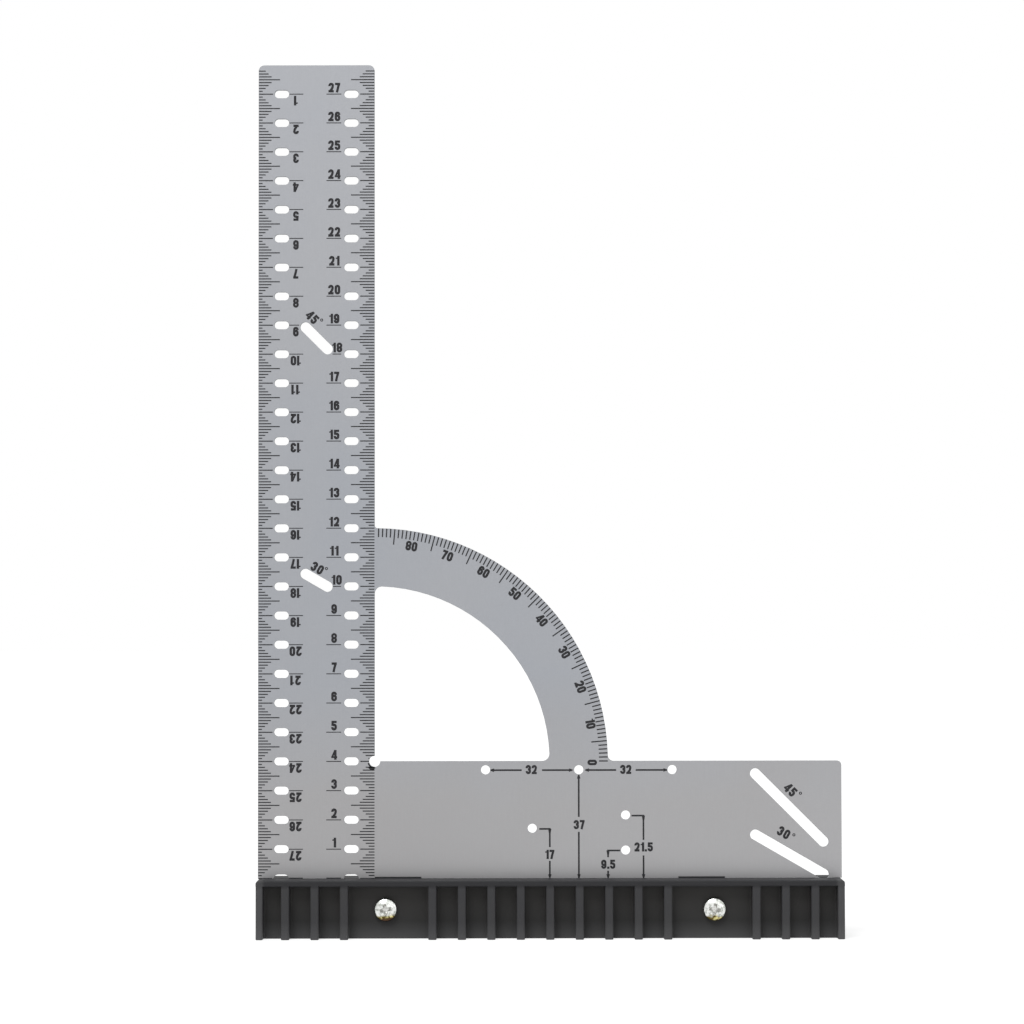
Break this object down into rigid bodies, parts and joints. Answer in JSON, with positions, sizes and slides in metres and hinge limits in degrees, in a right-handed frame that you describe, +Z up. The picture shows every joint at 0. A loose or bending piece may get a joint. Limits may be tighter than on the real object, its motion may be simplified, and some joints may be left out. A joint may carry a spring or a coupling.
{
  "type": "carpenter square",
  "caption": "L-shaped marking square with a protractor ring, perforated scale arm and angled pencil slots, on a ribbed T-shaped fence.",
  "frame": {"origin": "middle of the fence's foot, on the surface that the square stands on", "axes": "+X along the fence away from the arm, +Z up along the arm, and the printed face looks towards -Y; the blade's mid-plane is Y = 0"},
  "size_m": [0.2, 0.02, 0.3],
  "materials": {
    "blade_metal": "satin anodised sheet",
    "fence_plastic": "black moulded plastic with a fine grain",
    "zinc": "bright zinc plate",
    "print": "black screen print on the blade"
  },
  "bodies": {
    "root": {"blade": "blade_metal", "front_fence": "fence_plastic", "rear_fence": "fence_plastic", "screw_left": "zinc", "screw_right": "zinc", "nut_left": "zinc", "nut_right": "zinc"}
  },
  "joints": []
}
